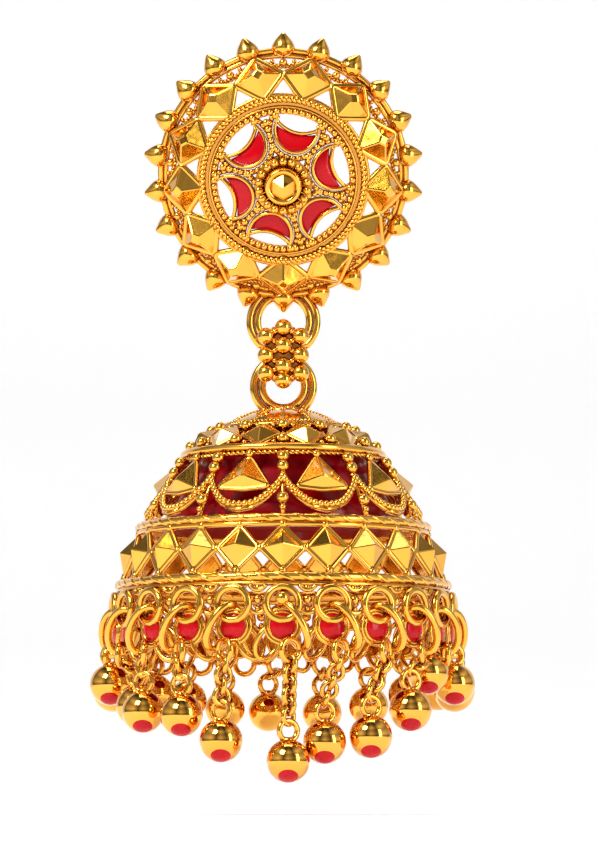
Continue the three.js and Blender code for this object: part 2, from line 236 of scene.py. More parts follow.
def rope(path, thickness, lay, closed=True, sides=6, steps=7):
    """Two strands wound along a path: lay is the length of one turn."""
    dense = resampled(path, 400, closed)
    ends = np.vstack([dense, dense[:1]]) if closed else dense
    length = np.linalg.norm(np.diff(ends, axis=0), axis=1).sum()
    turns = max(1, round(length / lay))
    line = resampled(path, turns * steps, closed)
    across, up = path_frames(line, closed)
    phase = np.arange(len(line)) * TURN / steps
    strands = []
    for start in (0, math.pi):
        swing = across * np.cos(phase + start)[:, None] + up * np.sin(phase + start)[:, None]
        strands.append(wire(line + swing * thickness * 0.25, thickness * 0.29, sides, closed))
    return strands


def grains_along(pile, path, radius, spacing, closed=True, place=None, detail=(10, 7)):
    dense = resampled(path, 400, closed)
    ends = np.vstack([dense, dense[:1]]) if closed else dense
    length = np.linalg.norm(np.diff(ends, axis=0), axis=1).sum()
    count = max(2, round(length / spacing))
    grain = ball(radius, *detail)
    for point in resampled(path, count, closed):
        shift = Matrix.Translation(point)
        pile.add(grain, shift if place is None else place @ shift)


# %% [markdown]
# ## Faceted plates
#
# The rhombi and triangles are thin plates stamped over a steel punch, so each has a flat
# border, sloping faces and a high point, and edges that catch a narrow light. A convex hull of
# a few corners gives the faces, and a small bevel gives the softened edges.

# %% The plate maker
def cut_plate(border, peak, base=0.25, table=0.0, soft=0.05):
    """A hull over a border, given as (x, z), that rises towards -Y to its peak (x, z, height)."""
    grid = bmesh.new()
    middle = np.mean(border, axis=0)
    for x, z in border:
        grid.verts.new((x, 0, z))
        inner_x, inner_z = middle + (np.array([x, z]) - middle) * 0.92
        grid.verts.new((inner_x, base, inner_z))
        if table:
            top_x = peak[0] + (x - middle[0]) * table
            top_z = peak[1] + (z - middle[1]) * table
            grid.verts.new((top_x, -peak[2], top_z))
    if not table:
        grid.verts.new((peak[0], -peak[2], peak[1]))
    bmesh.ops.convex_hull(grid, input=grid.verts)
    bmesh.ops.dissolve_limit(grid, angle_limit=0.02, verts=grid.verts, edges=grid.edges)
    bmesh.ops.bevel(
        grid, geom=list(grid.edges), offset=soft, segments=2, profile=0.6,
        affect="EDGES", clamp_overlap=True,
    )
    bmesh.ops.recalc_face_normals(grid, faces=grid.faces)
    bmesh.ops.triangulate(grid, faces=grid.faces)
    points = np.array([v.co[:] for v in grid.verts])
    faces = np.array([[v.index for v in f.verts] for f in grid.faces])
    grid.free()
    return points, [faces]


def rhombus(half_width, half_height):
    return [(-half_width, 0), (0, half_height), (half_width, 0), (0, -half_height)]


def border_line(corners, steps=9, rounding=0.13):
    """A closed line round a plate's corners, rounded at each of them, as (x, 0, z)."""
    corners = np.array(corners, float)
    line = []
    for index, corner in enumerate(corners):
        before = corner + (corners[index - 1] - corner) * rounding
        after = corner + (corners[(index + 1) % len(corners)] - corner) * rounding
        for share in np.linspace(0, 1, steps):
            inner = (1 - share) ** 2 * before + 2 * share * (1 - share) * corner + share**2 * after
            line.append((inner[0], 0, inner[1]))
    return np.array(line)


def add_bordered(pile, plate, corners, wire_radius, place):
    """A stamped plate inside its border, a plain wire bent to the same corners."""
    pile.add(plate, place @ Matrix.Translation((0, -wire_radius / 2, 0)), smooth=False)
    pile.add(wire(border_line(corners), wire_radius, 10), place)


# %% [markdown]
# ## Shader effects shared by the finishes
#
# Two effects return in every metal here. The first is painted shade: a dark, warm tone painted into
# the hollows where the ambient occlusion node finds that little light reaches. The second is the
# faint unevenness of hand-polished metal: soft swells, and hair scratches that break up the
# roughness. Each is a node group with its own inputs, so each finish sets its own amount.

# %% The shared node groups
def new_group(name, inputs, outputs):
    group = bpy.data.node_groups.new(name, "ShaderNodeTree")
    for label, kind, default in inputs:
        socket = group.interface.new_socket(label, in_out="INPUT", socket_type=kind)
        socket.default_value = default
    for label, kind in outputs:
        group.interface.new_socket(label, in_out="OUTPUT", socket_type=kind)
    return group, group.nodes.new("NodeGroupInput"), group.nodes.new("NodeGroupOutput")


def node(tree, kind, **values):
    made = tree.nodes.new(kind)
    for key, value in values.items():
        if isinstance(getattr(made, key, None), bpy.types.bpy_prop_collection) or not hasattr(made, key):
            made.inputs[key].default_value = value
        else:
            setattr(made, key, value)
    return made


def socket_values(made, **values):
    for key, value in values.items():
        made.inputs[key.replace("_", " ")].default_value = value
    return made


def painted_hollow_shade_group():
    group, inside, outside = new_group(
        "painted_hollow_shade", [("Reach", "NodeSocketFloat", 0.0006), ("Amount", "NodeSocketFloat", 0.6)],
        [("Mask", "NodeSocketFloat")],
    )
    # Painted shade: ambient occlusion finds the hollows that little light reaches, and this mask darkens the colour
    # there.
    shade = node(group, "ShaderNodeAmbientOcclusion", samples=6)
    group.links.new(inside.outputs["Reach"], shade.inputs["Distance"])
    ramp = node(group, "ShaderNodeMapRange")
    socket_values(ramp, From_Min=0.25, From_Max=0.85, To_Min=1.0, To_Max=0.0)
    group.links.new(shade.outputs["AO"], ramp.inputs["Value"])
    scale = node(group, "ShaderNodeMath", operation="MULTIPLY")
    group.links.new(ramp.outputs["Result"], scale.inputs[0])
    group.links.new(inside.outputs["Amount"], scale.inputs[1])
    group.links.new(scale.outputs["Value"], outside.inputs["Mask"])
    return group


def polish_group():
    group, inside, outside = new_group(
        "hand_polish",
        [("Swell Size", "NodeSocketFloat", 700.0), ("Roughness", "NodeSocketFloat", 0.12),
         ("Scratches", "NodeSocketFloat", 0.05)],
        [("Height", "NodeSocketFloat"), ("Roughness", "NodeSocketFloat")],
    )
    place = node(group, "ShaderNodeTexCoord")
    swell = node(group, "ShaderNodeTexNoise")
    socket_values(swell, Detail=2.0)
    group.links.new(place.outputs["Object"], swell.inputs["Vector"])
    group.links.new(inside.outputs["Swell Size"], swell.inputs["Scale"])
    group.links.new(swell.outputs["Fac"], outside.inputs["Height"])
    stretch = node(group, "ShaderNodeMapping")
    stretch.inputs["Scale"].default_value = (9000, 1500, 2500)
    stretch.inputs["Rotation"].default_value = (0.4, 0.7, 0.2)
    group.links.new(place.outputs["Object"], stretch.inputs["Vector"])
    hair = node(group, "ShaderNodeTexNoise")
    socket_values(hair, Scale=1.0, Detail=3.0)
    group.links.new(stretch.outputs["Vector"], hair.inputs["Vector"])
    amount = node(group, "ShaderNodeMath", operation="MULTIPLY_ADD")
    group.links.new(hair.outputs["Fac"], amount.inputs[0])
    group.links.new(inside.outputs["Scratches"], amount.inputs[1])
    group.links.new(inside.outputs["Roughness"], amount.inputs[2])
    group.links.new(amount.outputs["Value"], outside.inputs["Roughness"])
    return group


painted_hollow_shade = painted_hollow_shade_group()
hand_polish = polish_group()


# %% [markdown]
# ## Gold
#
# High-carat gold is a rich orange yellow whose shadows turn brown rather than grey, because the
# metal reflects itself again and again. The wire and grain work has a darker brown painted into its
# hollows as painted shade. Plates and balls are burnished brighter, and the inside of the bell stays duller.

# %% The gold finishes
def gold_finish(name, colour, shade_colour, rough, shade_amount, swell):
    material = bpy.data.materials.new(name)
    material.use_nodes = True
    tree = material.node_tree
    metal = tree.nodes["Principled BSDF"]
    metal.inputs["Metallic"].default_value = 1.0
    metal.inputs["Coat Weight"].default_value = 0.5
    metal.inputs["Coat IOR"].default_value = 1.6
    metal.inputs["Coat Roughness"].default_value = 0.03
    polish = node(tree, "ShaderNodeGroup", node_tree=hand_polish)
    socket_values(polish, Roughness=rough, Scratches=0.06)
    polish.inputs["Swell Size"].default_value = 600.0
    shade_mask_node = node(tree, "ShaderNodeGroup", node_tree=painted_hollow_shade)
    socket_values(shade_mask_node, Amount=shade_amount)
    tint = node(tree, "ShaderNodeTexNoise")
    socket_values(tint, Scale=260.0, Detail=2.0)
    place = node(tree, "ShaderNodeTexCoord")
    tree.links.new(place.outputs["Object"], tint.inputs["Vector"])
    warm = node(tree, "ShaderNodeMix", data_type="RGBA")
    warm.inputs["A"].default_value = (*colour, 1)
    warm.inputs["B"].default_value = (colour[0], colour[1] * 0.9, colour[2] * 0.75, 1)
    tree.links.new(tint.outputs["Fac"], warm.inputs["Factor"])
    # Painted shade: a dark brown is mixed into the base colour where the hollow mask is high.
    painted_shade_mix = node(tree, "ShaderNodeMix", data_type="RGBA")
    painted_shade_mix.inputs["B"].default_value = (*shade_colour, 1)
    tree.links.new(shade_mask_node.outputs["Mask"], painted_shade_mix.inputs["Factor"])
    tree.links.new(warm.outputs["Result"], painted_shade_mix.inputs["A"])
    tree.links.new(painted_shade_mix.outputs["Result"], metal.inputs["Base Color"])
    tree.links.new(polish.outputs["Roughness"], metal.inputs["Roughness"])
    bump = node(tree, "ShaderNodeBump")
    socket_values(bump, Strength=swell, Distance=0.00008)
    tree.links.new(polish.outputs["Height"], bump.inputs["Height"])
    tree.links.new(bump.outputs["Normal"], metal.inputs["Normal"])
    return material


RICH_GOLD = (0.89, 0.46, 0.045)
# The dark brown painted into the hollows as painted shade.
PAINTED_SHADE_GOLD = (0.36, 0.09, 0.003)
wire_gold = gold_finish("wire_gold", RICH_GOLD, PAINTED_SHADE_GOLD, 0.13, 0.85, 0.3)
plate_gold = gold_finish("burnished_plate_gold", RICH_GOLD, PAINTED_SHADE_GOLD, 0.09, 0.5, 0.35)
ball_gold = gold_finish("mirror_ball_gold", (0.92, 0.45, 0.05), PAINTED_SHADE_GOLD, 0.04, 0.35, 0.15)
inner_gold = gold_finish("satin_inner_gold", (0.85, 0.4, 0.045), PAINTED_SHADE_GOLD, 0.28, 0.8, 0.5)


# %% [markdown]
# ## Red enamel
#
# The enamel is powdered red glass melted onto the gold. It is deep and even, with a hard clear
# surface, slightly darker where it is thick. A coat over a saturated base gives that hard
# gloss. The bell's lining is the same red seen in shade, a little mottled.

# %% The enamel finishes
def enamel_finish(name, thin, thick, rough, coat_rough):
    material = bpy.data.materials.new(name)
    material.use_nodes = True
    tree = material.node_tree
    glass = tree.nodes["Principled BSDF"]
    glass.inputs["Coat Weight"].default_value = 0.45
    glass.inputs["Coat IOR"].default_value = 1.35
    glass.inputs["Coat Roughness"].default_value = coat_rough
    glass.inputs["IOR"].default_value = 1.22
    place = node(tree, "ShaderNodeTexCoord")
    pool = node(tree, "ShaderNodeTexNoise")
    socket_values(pool, Scale=900.0, Detail=3.0)
    tree.links.new(place.outputs["Object"], pool.inputs["Vector"])
    blend = node(tree, "ShaderNodeMix", data_type="RGBA")
    blend.inputs["A"].default_value = (*thin, 1)
    blend.inputs["B"].default_value = (*thick, 1)
    tree.links.new(pool.outputs["Fac"], blend.inputs["Factor"])
    tree.links.new(blend.outputs["Result"], glass.inputs["Base Color"])
    spread = node(tree, "ShaderNodeMapRange")
    socket_values(spread, To_Min=rough, To_Max=rough + 0.12)
    tree.links.new(pool.outputs["Fac"], spread.inputs["Value"])
    tree.links.new(spread.outputs["Result"], glass.inputs["Roughness"])
    bump = node(tree, "ShaderNodeBump")
    socket_values(bump, Strength=0.12, Distance=0.00005)
    tree.links.new(pool.outputs["Fac"], bump.inputs["Height"])
    tree.links.new(bump.outputs["Normal"], glass.inputs["Normal"])
    return material


red_enamel = enamel_finish("red_enamel", (0.62, 0.0, 0.006), (0.42, 0.0, 0.004), 0.2, 0.03)
# Painted shade: the lining is the enamel red painted darker, because it sits in shade inside the bell.
red_lining = enamel_finish("red_lining_finish", (0.4, 0.0, 0.006), (0.16, 0.0, 0.002), 0.25, 0.08)


# %% [markdown]
# ## Places on the stud
#
# The stud is a shallow dome, so each ring of it stands further forward than the last. Places
# are given as on a clock face: an angle, a radius, a height in front of the rim and a slope.
# The middle rings sit a little lower than the rim, as on a hand-assembled piece.

# %% Clock places
def on_clock(degrees, radius, height, slope=0.0, sink=0.0):
    return (
        Matrix.Translation((0, 0, -sink))
        @ Matrix.Rotation(math.radians(degrees), 4, "Y")
        @ Matrix.Translation((0, -height, radius))
        @ Matrix.Rotation(-math.radians(slope), 4, "X")
    )


def stud_circle(radius, height, sink=0.0, count=180):
    angles = np.arange(count) * TURN / count
    x, z = radius * np.sin(angles), radius * np.cos(angles) - sink
    return np.stack([x, np.full(count, -height), z], axis=1)


def stud_washer(inner, outer, front, back, sink=0.0, sides=96):
    points, faces = spun([(inner, front), (outer, front), (outer, back), (inner, back)], sides, True)
    return points[:, [0, 2, 1]] * [1, -1, 1] - [0, 0, sink], [faces[0]]


FACE_FRONT = Matrix.Rotation(math.pi / 2, 4, "X")
# FACE_FRONT turns a shape spun about Z so that its top points towards -Y.

# %% [markdown]
# ## The stud's rim
#
# Two plain wires run round the edge. Pointed drops stand on the outer one, each turned like a
# tiny onion. A thin twisted wire zigzags between the rim and the ring of faceted petals, with a
# grain in each inner bend.

# %% Rim, spikes and zigzag
RIM_OUTER, RIM_INNER = 8.88, 8.5
SPIKE_COUNT, PETAL_COUNT = 22, 13
PETAL_SINK, ROPE_SINK = 0.15, 0.3

rim = Pile()
rim.add(wire(stud_circle(RIM_OUTER, 0.02), 0.23, 10))
rim.add(wire(stud_circle(RIM_INNER, 0.12), 0.19, 10))
rim.add(stud_washer(RIM_INNER - 0.1, RIM_OUTER, 0.05, -0.3))
spike_outline = [
    (0.30, -0.6), (0.6, -0.45), (0.8, -0.2), (0.86, 0.02), (0.8, 0.26), (0.66, 0.52),
    (0.47, 0.75), (0.3, 0.93), (0.2, 1.04), (0.1, 1.12), (0.001, 1.14),
]
spike = spun(spike_outline, 16)
for index in range(SPIKE_COUNT):
    rim.add(spike, on_clock(360 * index / SPIKE_COUNT, RIM_OUTER + 0.17, 0.08))

zigzag = []
half_step = 180 / PETAL_COUNT
for index in range(2 * PETAL_COUNT):
    inner_bend = index % 2 == 0
    reach = 7.9 if inner_bend else 8.5
    place = on_clock(index * half_step, reach, 0.62 if inner_bend else 0.3, sink=PETAL_SINK)
    zigzag.append(place.translation[:])
for strand in rope(zigzag, 0.34, 0.55):
    rim.add(strand)
for index in range(PETAL_COUNT):
    rim.add(ball(0.31, 14, 10), on_clock(2 * index * half_step, 8.2, 0.55, sink=PETAL_SINK))
    for side in (-1, 1):
        rim.add(ball(0.17), on_clock(2 * index * half_step + side * 5.5, 8.32, 0.42, sink=PETAL_SINK))

# %% [markdown]
# ## The upper ring
#
# The ring that carries the bell is two wires side by side, soldered behind the rim. Inside the
# bail its wires are pressed flat, so that the bail has a level seat.

# %% Rings of doubled wire
def pressed_circle(radius, flat, up, count=96):
    angles = np.arange(count) * TURN / count
    towards = up * np.sin(angles)
    reach = np.where(towards > flat / radius, flat / np.maximum(towards, 1e-6), radius)
    return np.stack([reach * np.cos(angles), np.zeros(count), reach * np.sin(angles)], axis=1)


def double_ring(pile, centre, inner, outer, inner_flat, outer_flat, wire_radius, up):
    middle = np.array([0, ring_plane, centre])
    outer_path = pressed_circle(outer - wire_radius, outer_flat - wire_radius, up)
    inner_path = pressed_circle(inner + wire_radius, inner_flat + wire_radius, up)
    pile.add(wire(outer_path + middle, wire_radius, 14))
    pile.add(wire(inner_path + middle, wire_radius, 14))


def ring_pile():
    pile = Pile()
    double_ring(pile, -10.47, 1.62, 2.72, 0.98, 2.06, 0.275, -1)
    solder = ball(0.42, 14, 10)
    for side in (-1, 1):
        pile.add(solder, Matrix.Translation((side * 1.35, ring_plane - 0.3, -8.35)))
    return pile


ring_pile().make("upper_ring", "stud", wire_gold, "gold", ["stud_rosette"])
rim.make("stud_rim", "stud", wire_gold, "gold", ["stud_rosette"], droop)

# %% [markdown]
# ## The petals
#
# Thirteen faceted rhombi ring the stud, side corner to side corner, leaning back to follow the
# dome. Each has a thin flat border, four faces and a small table at its peak. A short stem
# joins its inner corner to the rope ring, and its outer corner rests on the rim.

# %% The ring of petals
PETAL_SLOPE, PETAL_RADIUS, PETAL_HEIGHT = 25, 7.22, 1.2
petals = Pile()
petal = cut_plate(rhombus(1.8, 1.64), (0, 0, 1.08), table=0.24, soft=0.09)
for index in range(PETAL_COUNT):
    degrees = (2 * index + 1) * half_step
    place = on_clock(degrees, PETAL_RADIUS, PETAL_HEIGHT, PETAL_SLOPE, PETAL_SINK)
    add_bordered(petals, petal, rhombus(1.76, 1.6), 0.25, place)
    stem = [on_clock(degrees, r, h, 0, s).translation[:] for r, h, s in
            ((6.35, 1.62, PETAL_SINK), (6.0, 1.78, ROPE_SINK))]
    petals.add(wire(stem, 0.24, 10, closed=False))
petals.make("stud_petals", "stud", plate_gold, "gold", ["stud_rosette"], droop)

# %% [markdown]
# ## The rope ring and its beads
#
# Inside the petals a two-strand rope ring stands on a flat band, then comes a dark groove, and
# then a ring of grains. The groove is real: the rope and the beads stand apart on the band.

# %% Rope, groove and beaded ring
medallion = Pile()
medallion.add(stud_washer(4.75, 6.05, 1.75, 1.3, ROPE_SINK), smooth=False)
for strand in rope(stud_circle(5.86, 2.0, ROPE_SINK, 240), 0.52, 0.72):
    medallion.add(strand)
medallion.add(wire(stud_circle(6.12, 1.75, ROPE_SINK), 0.16, 8))
medallion.add(wire(stud_circle(5.3, 1.95, ROPE_SINK), 0.1, 8))
grains_along(medallion, stud_circle(5.0, 2.05, ROPE_SINK, 240), 0.245, 0.46)

# %% [markdown]
# ## The half-moon settings
#
# Six settings stand round the centre button. Each is a plain wire bent to a half moon with a
# thin floor, and its straight side faces outwards. A granulated wire runs round its curve and
# ends at the beaded ring, so a lens-shaped opening is left outside the straight side.

# %% Half-moon outlines and settings
MOON_COUNT, MOON_FIRST, MOON_RADIUS, MOON_SLOPE = 6, 14, 3.15, 17
MOON_HEIGHT, MOON_SINK = 2.25, 0.42


def half_moon(half_width, rise, drop, sag, steps=26):
    """The curve below, then the slightly sagging straight side above, as (x, z)."""
    curve = np.linspace(math.pi, TURN, steps)
    below = np.stack([half_width * np.cos(curve), rise + (rise + drop) * np.sin(curve)], axis=1)
    across = np.linspace(half_width, -half_width, steps // 2)[1:-1]
    above = np.stack([across, rise - sag * (1 - (across / half_width) ** 2)], axis=1)
    return np.vstack([below, above])


def lifted(outline, forward):
    return np.stack([outline[:, 0], np.full(len(outline), -forward), outline[:, 1]], axis=1)


def domed_plate(outline, crown, depth, rings=5):
    """A plate with a softly crowned front: the outline shrinks to its middle in rings."""
    middle = outline.mean(axis=0)
    layers = [lifted(outline, -depth)]
    for share in np.linspace(1, 0.02, rings):
        layers.append(lifted(middle + (outline - middle) * share, crown * (1 - share**2)))
    points = np.concatenate(layers)
    count = len(outline)
    caps = [np.arange(count)[None, ::-1], (rings * count) + np.arange(count)[None]]
    return points, [grid_faces(rings + 1, count), *caps]


def moon_place(index):
    degrees = MOON_FIRST + 360 * index / MOON_COUNT
    return on_clock(degrees, MOON_RADIUS, MOON_HEIGHT, MOON_SLOPE, MOON_SINK)


def bowl(half_width, top, bottom, steps=40, spread=20):
    """An open bowl-shaped line: past half an ellipse by a spread at each end, as (x, z)."""
    turn = np.radians(np.linspace(180 - spread, 360 + spread, steps))
    middle = top - (top - bottom) * math.sin(math.radians(spread)) / (1 + math.sin(math.radians(spread)))
    return np.stack([half_width * np.cos(turn), middle + (middle - bottom) * np.sin(turn)], axis=1)


frame_line = lifted(bowl(1.56, 1.4, -0.98), 0.25)
chord_x = np.linspace(-1.5, 1.5, 16)
chord_line = lifted(np.stack([chord_x, 0.5 + 0.24 * chord_x**2], axis=1), 0.25)
floor_outline = half_moon(1.5, 0.7, 0.98, 0.3)
bead_arc = lifted(bowl(1.93, 1.55, -1.36), 0.1)
outer_line = bead_arc + [0, 0.2, 0]
for index in range(MOON_COUNT):
    place = moon_place(index)
    for line in (frame_line, chord_line):
        medallion.add(wire(line, 0.13, 8, closed=False), place)
        medallion.add(wire(line + [0, 0.2, 0], 0.13, 8, closed=False), place)
    medallion.add(domed_plate(floor_outline, 0.0, 0.25, 2), place, smooth=False)
    medallion.add(wire(outer_line, 0.22, 8, closed=False), place)
    grains_along(medallion, bead_arc, 0.21, 0.4, closed=False, place=place)
    for side in (-1, 1):
        medallion.add(ball(0.27, 14, 10), place @ Matrix.Translation((side * 1.72, -0.28, 1.35)))
    between = MOON_FIRST + 360 * (index + 0.5) / MOON_COUNT
    for radius, height, size in ((4.45, 2.15, 0.28), (3.98, 2.3, 0.26), (3.5, 2.4, 0.22), (2.55, 2.6, 0.26)):
        grain_place = on_clock(between, radius, height, 0, MOON_SINK)
        medallion.add(ball(size), grain_place)

# %% [markdown]
# ## The centre button
#
# A collar holds a cut point in the middle, ringed by grains. The point is a low cone with a few
# faces, so one half catches the light while the other goes dark.

# %% The centre button
BUTTON_SINK = 0.62
button = Pile()


def at_button(height):
    return Matrix.Translation((0, -height, -BUTTON_SINK)) @ FACE_FRONT


button.add(spun([(0.9, 0.72), (1.02, 0.86), (1.2, 0.88), (1.3, 0.76), (1.34, 0.2), (2.05, 0.1),
                 (2.1, -0.15), (0.001, -0.3)], 64), at_button(2.85))
cone = spun([(0.98, 0.0), (0.5, 0.3), (0.001, 0.56)], 6)
button.add(cone, at_button(3.55) @ Matrix.Rotation(math.radians(30), 4, "Z"), smooth=False)
grains_along(button, stud_circle(1.76, 3.12, BUTTON_SINK), 0.3, 0.62, detail=(14, 10))
button.make("centre_button", "stud", plate_gold, "gold", ["stud_rosette"], droop)
medallion.make("stud_medallion", "stud", wire_gold, "gold", ["stud_rosette"], droop)

# %% [markdown]
# ## The stud's enamels and post
#
# Each half moon is filled with red enamel that draws up slightly at the wire, so it gets a soft
# crown. The hidden post is plain wire with a rounded tip and the shallow groove that the ear
# nut clicks into.

# %% Stud enamels and ear post
for index in range(MOON_COUNT):
    enamel = Pile()
    fill = domed_plate(half_moon(1.42, 0.72, 0.84, 0.3), 0.08, 0.0, 7)
    enamel.add(fill, moon_place(index) @ Matrix.Translation((0, -0.1, 0)))
    number = f"{index + 1:02d}"
    enamel.make(f"red_moon_{number}", "stud", red_enamel, "red_enamel",
                [f"stud_enamel_{number}"], droop)

post = Pile()
post_outline = [
    (0.001, -2.6), (1.45, -2.6), (1.6, -2.45), (1.6, -2.3), (1.45, -2.2), (0.55, -2.12),
    (0.45, -1.95), (0.45, 6.6), (0.36, 6.8), (0.36, 7.1), (0.45, 7.3), (0.45, 8.8),
    (0.38, 9.2), (0.22, 9.45), (0.001, 9.5),
]
post.add(spun(post_outline, 40), Matrix.Rotation(-math.pi / 2, 4, "X"))
post.make("ear_post_wire", "stud", plate_gold, "post_gold", ["ear_post"], droop)

# %% [markdown]
# ## The beaded link
#
# Ten beads in three columns hide the joint between the two rings. They are soldered to the
# front of a wide bail, a flat band bent into a closed loop that passes through both rings. The
# band is a rounded section swept round the loop, and tiny grains fill the gaps between beads.

# %% Bail and bead cluster
BEAD_FRONT = ring_plane - 1.78
link = Pile()


def belt_path(half_depth, top, bottom, round_off=0.34, steps=8):
    corners = [(half_depth, bottom, -90), (half_depth, top, 0), (-half_depth, top, 90),
               (-half_depth, bottom, 180)]
    points = []
    for y, z, start in corners:
        centre_y = y - math.copysign(round_off, y)
        centre_z = z - (round_off if z == top else -round_off)
        for angle in np.radians(np.linspace(start, start + 90, steps)):
            points.append((centre_y + round_off * math.cos(angle), centre_z + round_off * math.sin(angle)))
    return np.array(points)


def bail_band(path, half_width, half_thick):
    """A flat band with rounded edges, as loops of its section round the belt."""
    section = np.linspace(0, TURN, 20, endpoint=False)
    x = half_width * np.sign(np.cos(section)) * np.abs(np.cos(section)) ** 0.35
    out = half_thick * np.sin(section)
    ahead = np.roll(path, -1, axis=0) - np.roll(path, 1, axis=0)
    ahead /= np.linalg.norm(ahead, axis=1, keepdims=True)
    outward = np.stack([ahead[:, 1], -ahead[:, 0]], axis=1)
    points = np.empty((len(path), len(section), 3))
    points[:, :, 0] = x
    points[:, :, 1:] = path[:, None] + outward[:, None] * out[:, None]
    return points.reshape(-1, 3), [grid_faces(len(path), len(section), True)]


belt = belt_path(0.93, -11.09, -14.66)
belt[:, 0] += ring_plane
link.add(bail_band(belt, 0.9, 0.2))
bead_columns = (
    (0, (-11.16, -12.49, -13.99, -14.98), (0.0, -0.22, -0.22, 0.0)),
    (-1.24, (-11.79, -13.17, -14.49), (0.0, 0.0, 0.0)),
    (1.24, (-11.79, -13.17, -14.49), (0.0, 0.0, 0.0)),
)
big_bead = ball(0.64, 28, 18)
for side, heights, nearer in bead_columns:
    for height, step in zip(heights, nearer):
        link.add(big_bead, Matrix.Translation((side, BEAD_FRONT + step, height)))
for side in (-0.62, 0.62):
    for height in (-11.45, -12.15, -12.85, -13.6, -14.25, -14.8):
        link.add(ball(0.22), Matrix.Translation((side, BEAD_FRONT - 0.12, height)))
back_plate = domed_plate(np.array([
    (-1.35, -14.6), (-0.5, -15.2), (0.5, -15.2), (1.35, -14.6), (1.35, -11.6), (0.5, -11.05),
    (-0.5, -11.05), (-1.35, -11.6)]), 0.05, 0.35, 2)
link.add(back_plate, Matrix.Translation((0, BEAD_FRONT + 0.3, 0)), smooth=False)
link.make("beaded_link", "link", wire_gold, "gold", ["link_cluster"])

# %% [markdown]
# ## Places on the bell
#
# The bell is built in tiers between soldered bands. A place on a tier is given by an angle
# round the bell and a distance down its sloping wall from the band above.

# %% Bands and wall places
CAP = (4.6, -18.45)
WAIST = (7.1, -20.35)
HIP = (10.3, -25.65)
HEM = (11.7, -29.85)


def on_wall(upper, lower, degrees, down, across=0.0, out=0.0):
    run, fall = lower[0] - upper[0], upper[1] - lower[1]
    length = math.hypot(run, fall)
    share = down / length
    radius, height = upper[0] + run * share, upper[1] - fall * share
    return (
        Matrix.Translation((0, ring_plane, 0))
        @ Matrix.Rotation(math.radians(degrees), 4, "Z")
        @ Matrix.Translation((0, -radius, height))
        @ Matrix.Rotation(-math.atan2(run, fall), 4, "X")
        @ Matrix.Translation((across, -out, 0))
    )


def bell_circle(radius, height, count=240):
    angles = np.arange(count) * TURN / count
    x, y = radius * np.sin(angles), ring_plane - radius * np.cos(angles)
    return np.stack([x, y, np.full(count, height)], axis=1)


def wall_curve(upper, lower, degrees, corners, out=0.0):
    """A line drawn on the wall from (across, down) corners round one angle."""
    line = []
    for across, down in corners:
        radius = upper[0] + (lower[0] - upper[0]) * down / math.dist(upper, lower)
        turn = degrees + math.degrees(across / radius)
        line.append(on_wall(upper, lower, turn, down, 0, out).translation[:])
    return np.array(line)


# %% [markdown]
# ## The bell's crown
#
# A smooth dome closes the top, with the lower ring soldered on a small flared foot. Round it
# thin twisted wires divide the dome, and a grain sits at each end. Below its edge twelve
# faceted rhombi stand between two rows of grains.

# %% Lower ring, dome and rhombi
crown = Pile()
double_ring(crown, -15.26, 1.26, 2.46, 0.96, 2.16, 0.3, 1)
foot = [(0.75, -16.75), (0.7, -16.95), (1.0, -17.05), (1.7, -17.1), (2.2, -17.2), (2.9, -17.42),
        (3.6, -17.75), (4.2, -18.15), (4.55, -18.5), (4.6, -18.7), (4.3, -18.75), (3.0, -18.2),
        (0.001, -17.8)]
crown.add(spun(foot, 96), Matrix.Translation((0, ring_plane, 0)))
crown.add(wire(bell_circle(1.5, -17.1), 0.13, 8))
crown.add(wire(bell_circle(*CAP), 0.17, 8))
for strand in rope(bell_circle(4.25, -18.2, 200), 0.34, 0.6):
    crown.add(strand)
for index in range(12):
    angle = TURN * index / 12
    ray = [(r * math.sin(angle), ring_plane - r * math.cos(angle), z)
           for r, z in ((1.6, -17.1), (2.3, -17.24), (3.2, -17.56), (4.1, -18.1))]
    for strand in rope(ray, 0.26, 0.5, closed=False):
        crown.add(strand)
    crown.add(ball(0.26), Matrix.Translation(ray[0]))
crown.make("bell_crown", "bell", wire_gold, "gold", ["bell_shell"])

CAP_COUNT = 12
cap_tier = Pile()
cap_plates = Pile()
cap_length = math.dist(CAP, WAIST)
cap_gem = cut_plate(rhombus(1.25, 1.25), (0, 0, 0.62), table=0.12, soft=0.05)
for index in range(CAP_COUNT):
    plate_place = on_wall(CAP, WAIST, 15 + 30 * index, cap_length * 0.5)
    add_bordered(cap_plates, cap_gem, rhombus(1.32, 1.32), 0.2, plate_place)
    for down, size, out in ((0.55, 0.42, 0.3), (2.45, 0.42, 0.3)):
        cap_tier.add(ball(size, 18, 12), on_wall(CAP, WAIST, 30 * index, down, 0, out))
    for side in (-1, 1):
        cap_tier.add(ball(0.2), on_wall(CAP, WAIST, 30 * index + side * 5.5, 2.55, 0, 0.05))
        cap_tier.add(ball(0.2), on_wall(CAP, WAIST, 30 * index + side * 8, 0.3, 0, 0.05))
    stem_line = wall_curve(CAP, WAIST, 30 * index, [(0, 0.1), (0, 3.0)])
    cap_tier.add(wire(stem_line, 0.16, 8, closed=False))
cap_plates.make("cap_rhombi", "bell", plate_gold, "gold", ["bell_shell"])

# %% [markdown]
# ## The bands
#
# Three bands hold the tiers together. The waist is a thick plain wire over a thin twisted one.
# The hip and the hem are thick two-strand ropes, each with a thin plain wire soldered below.

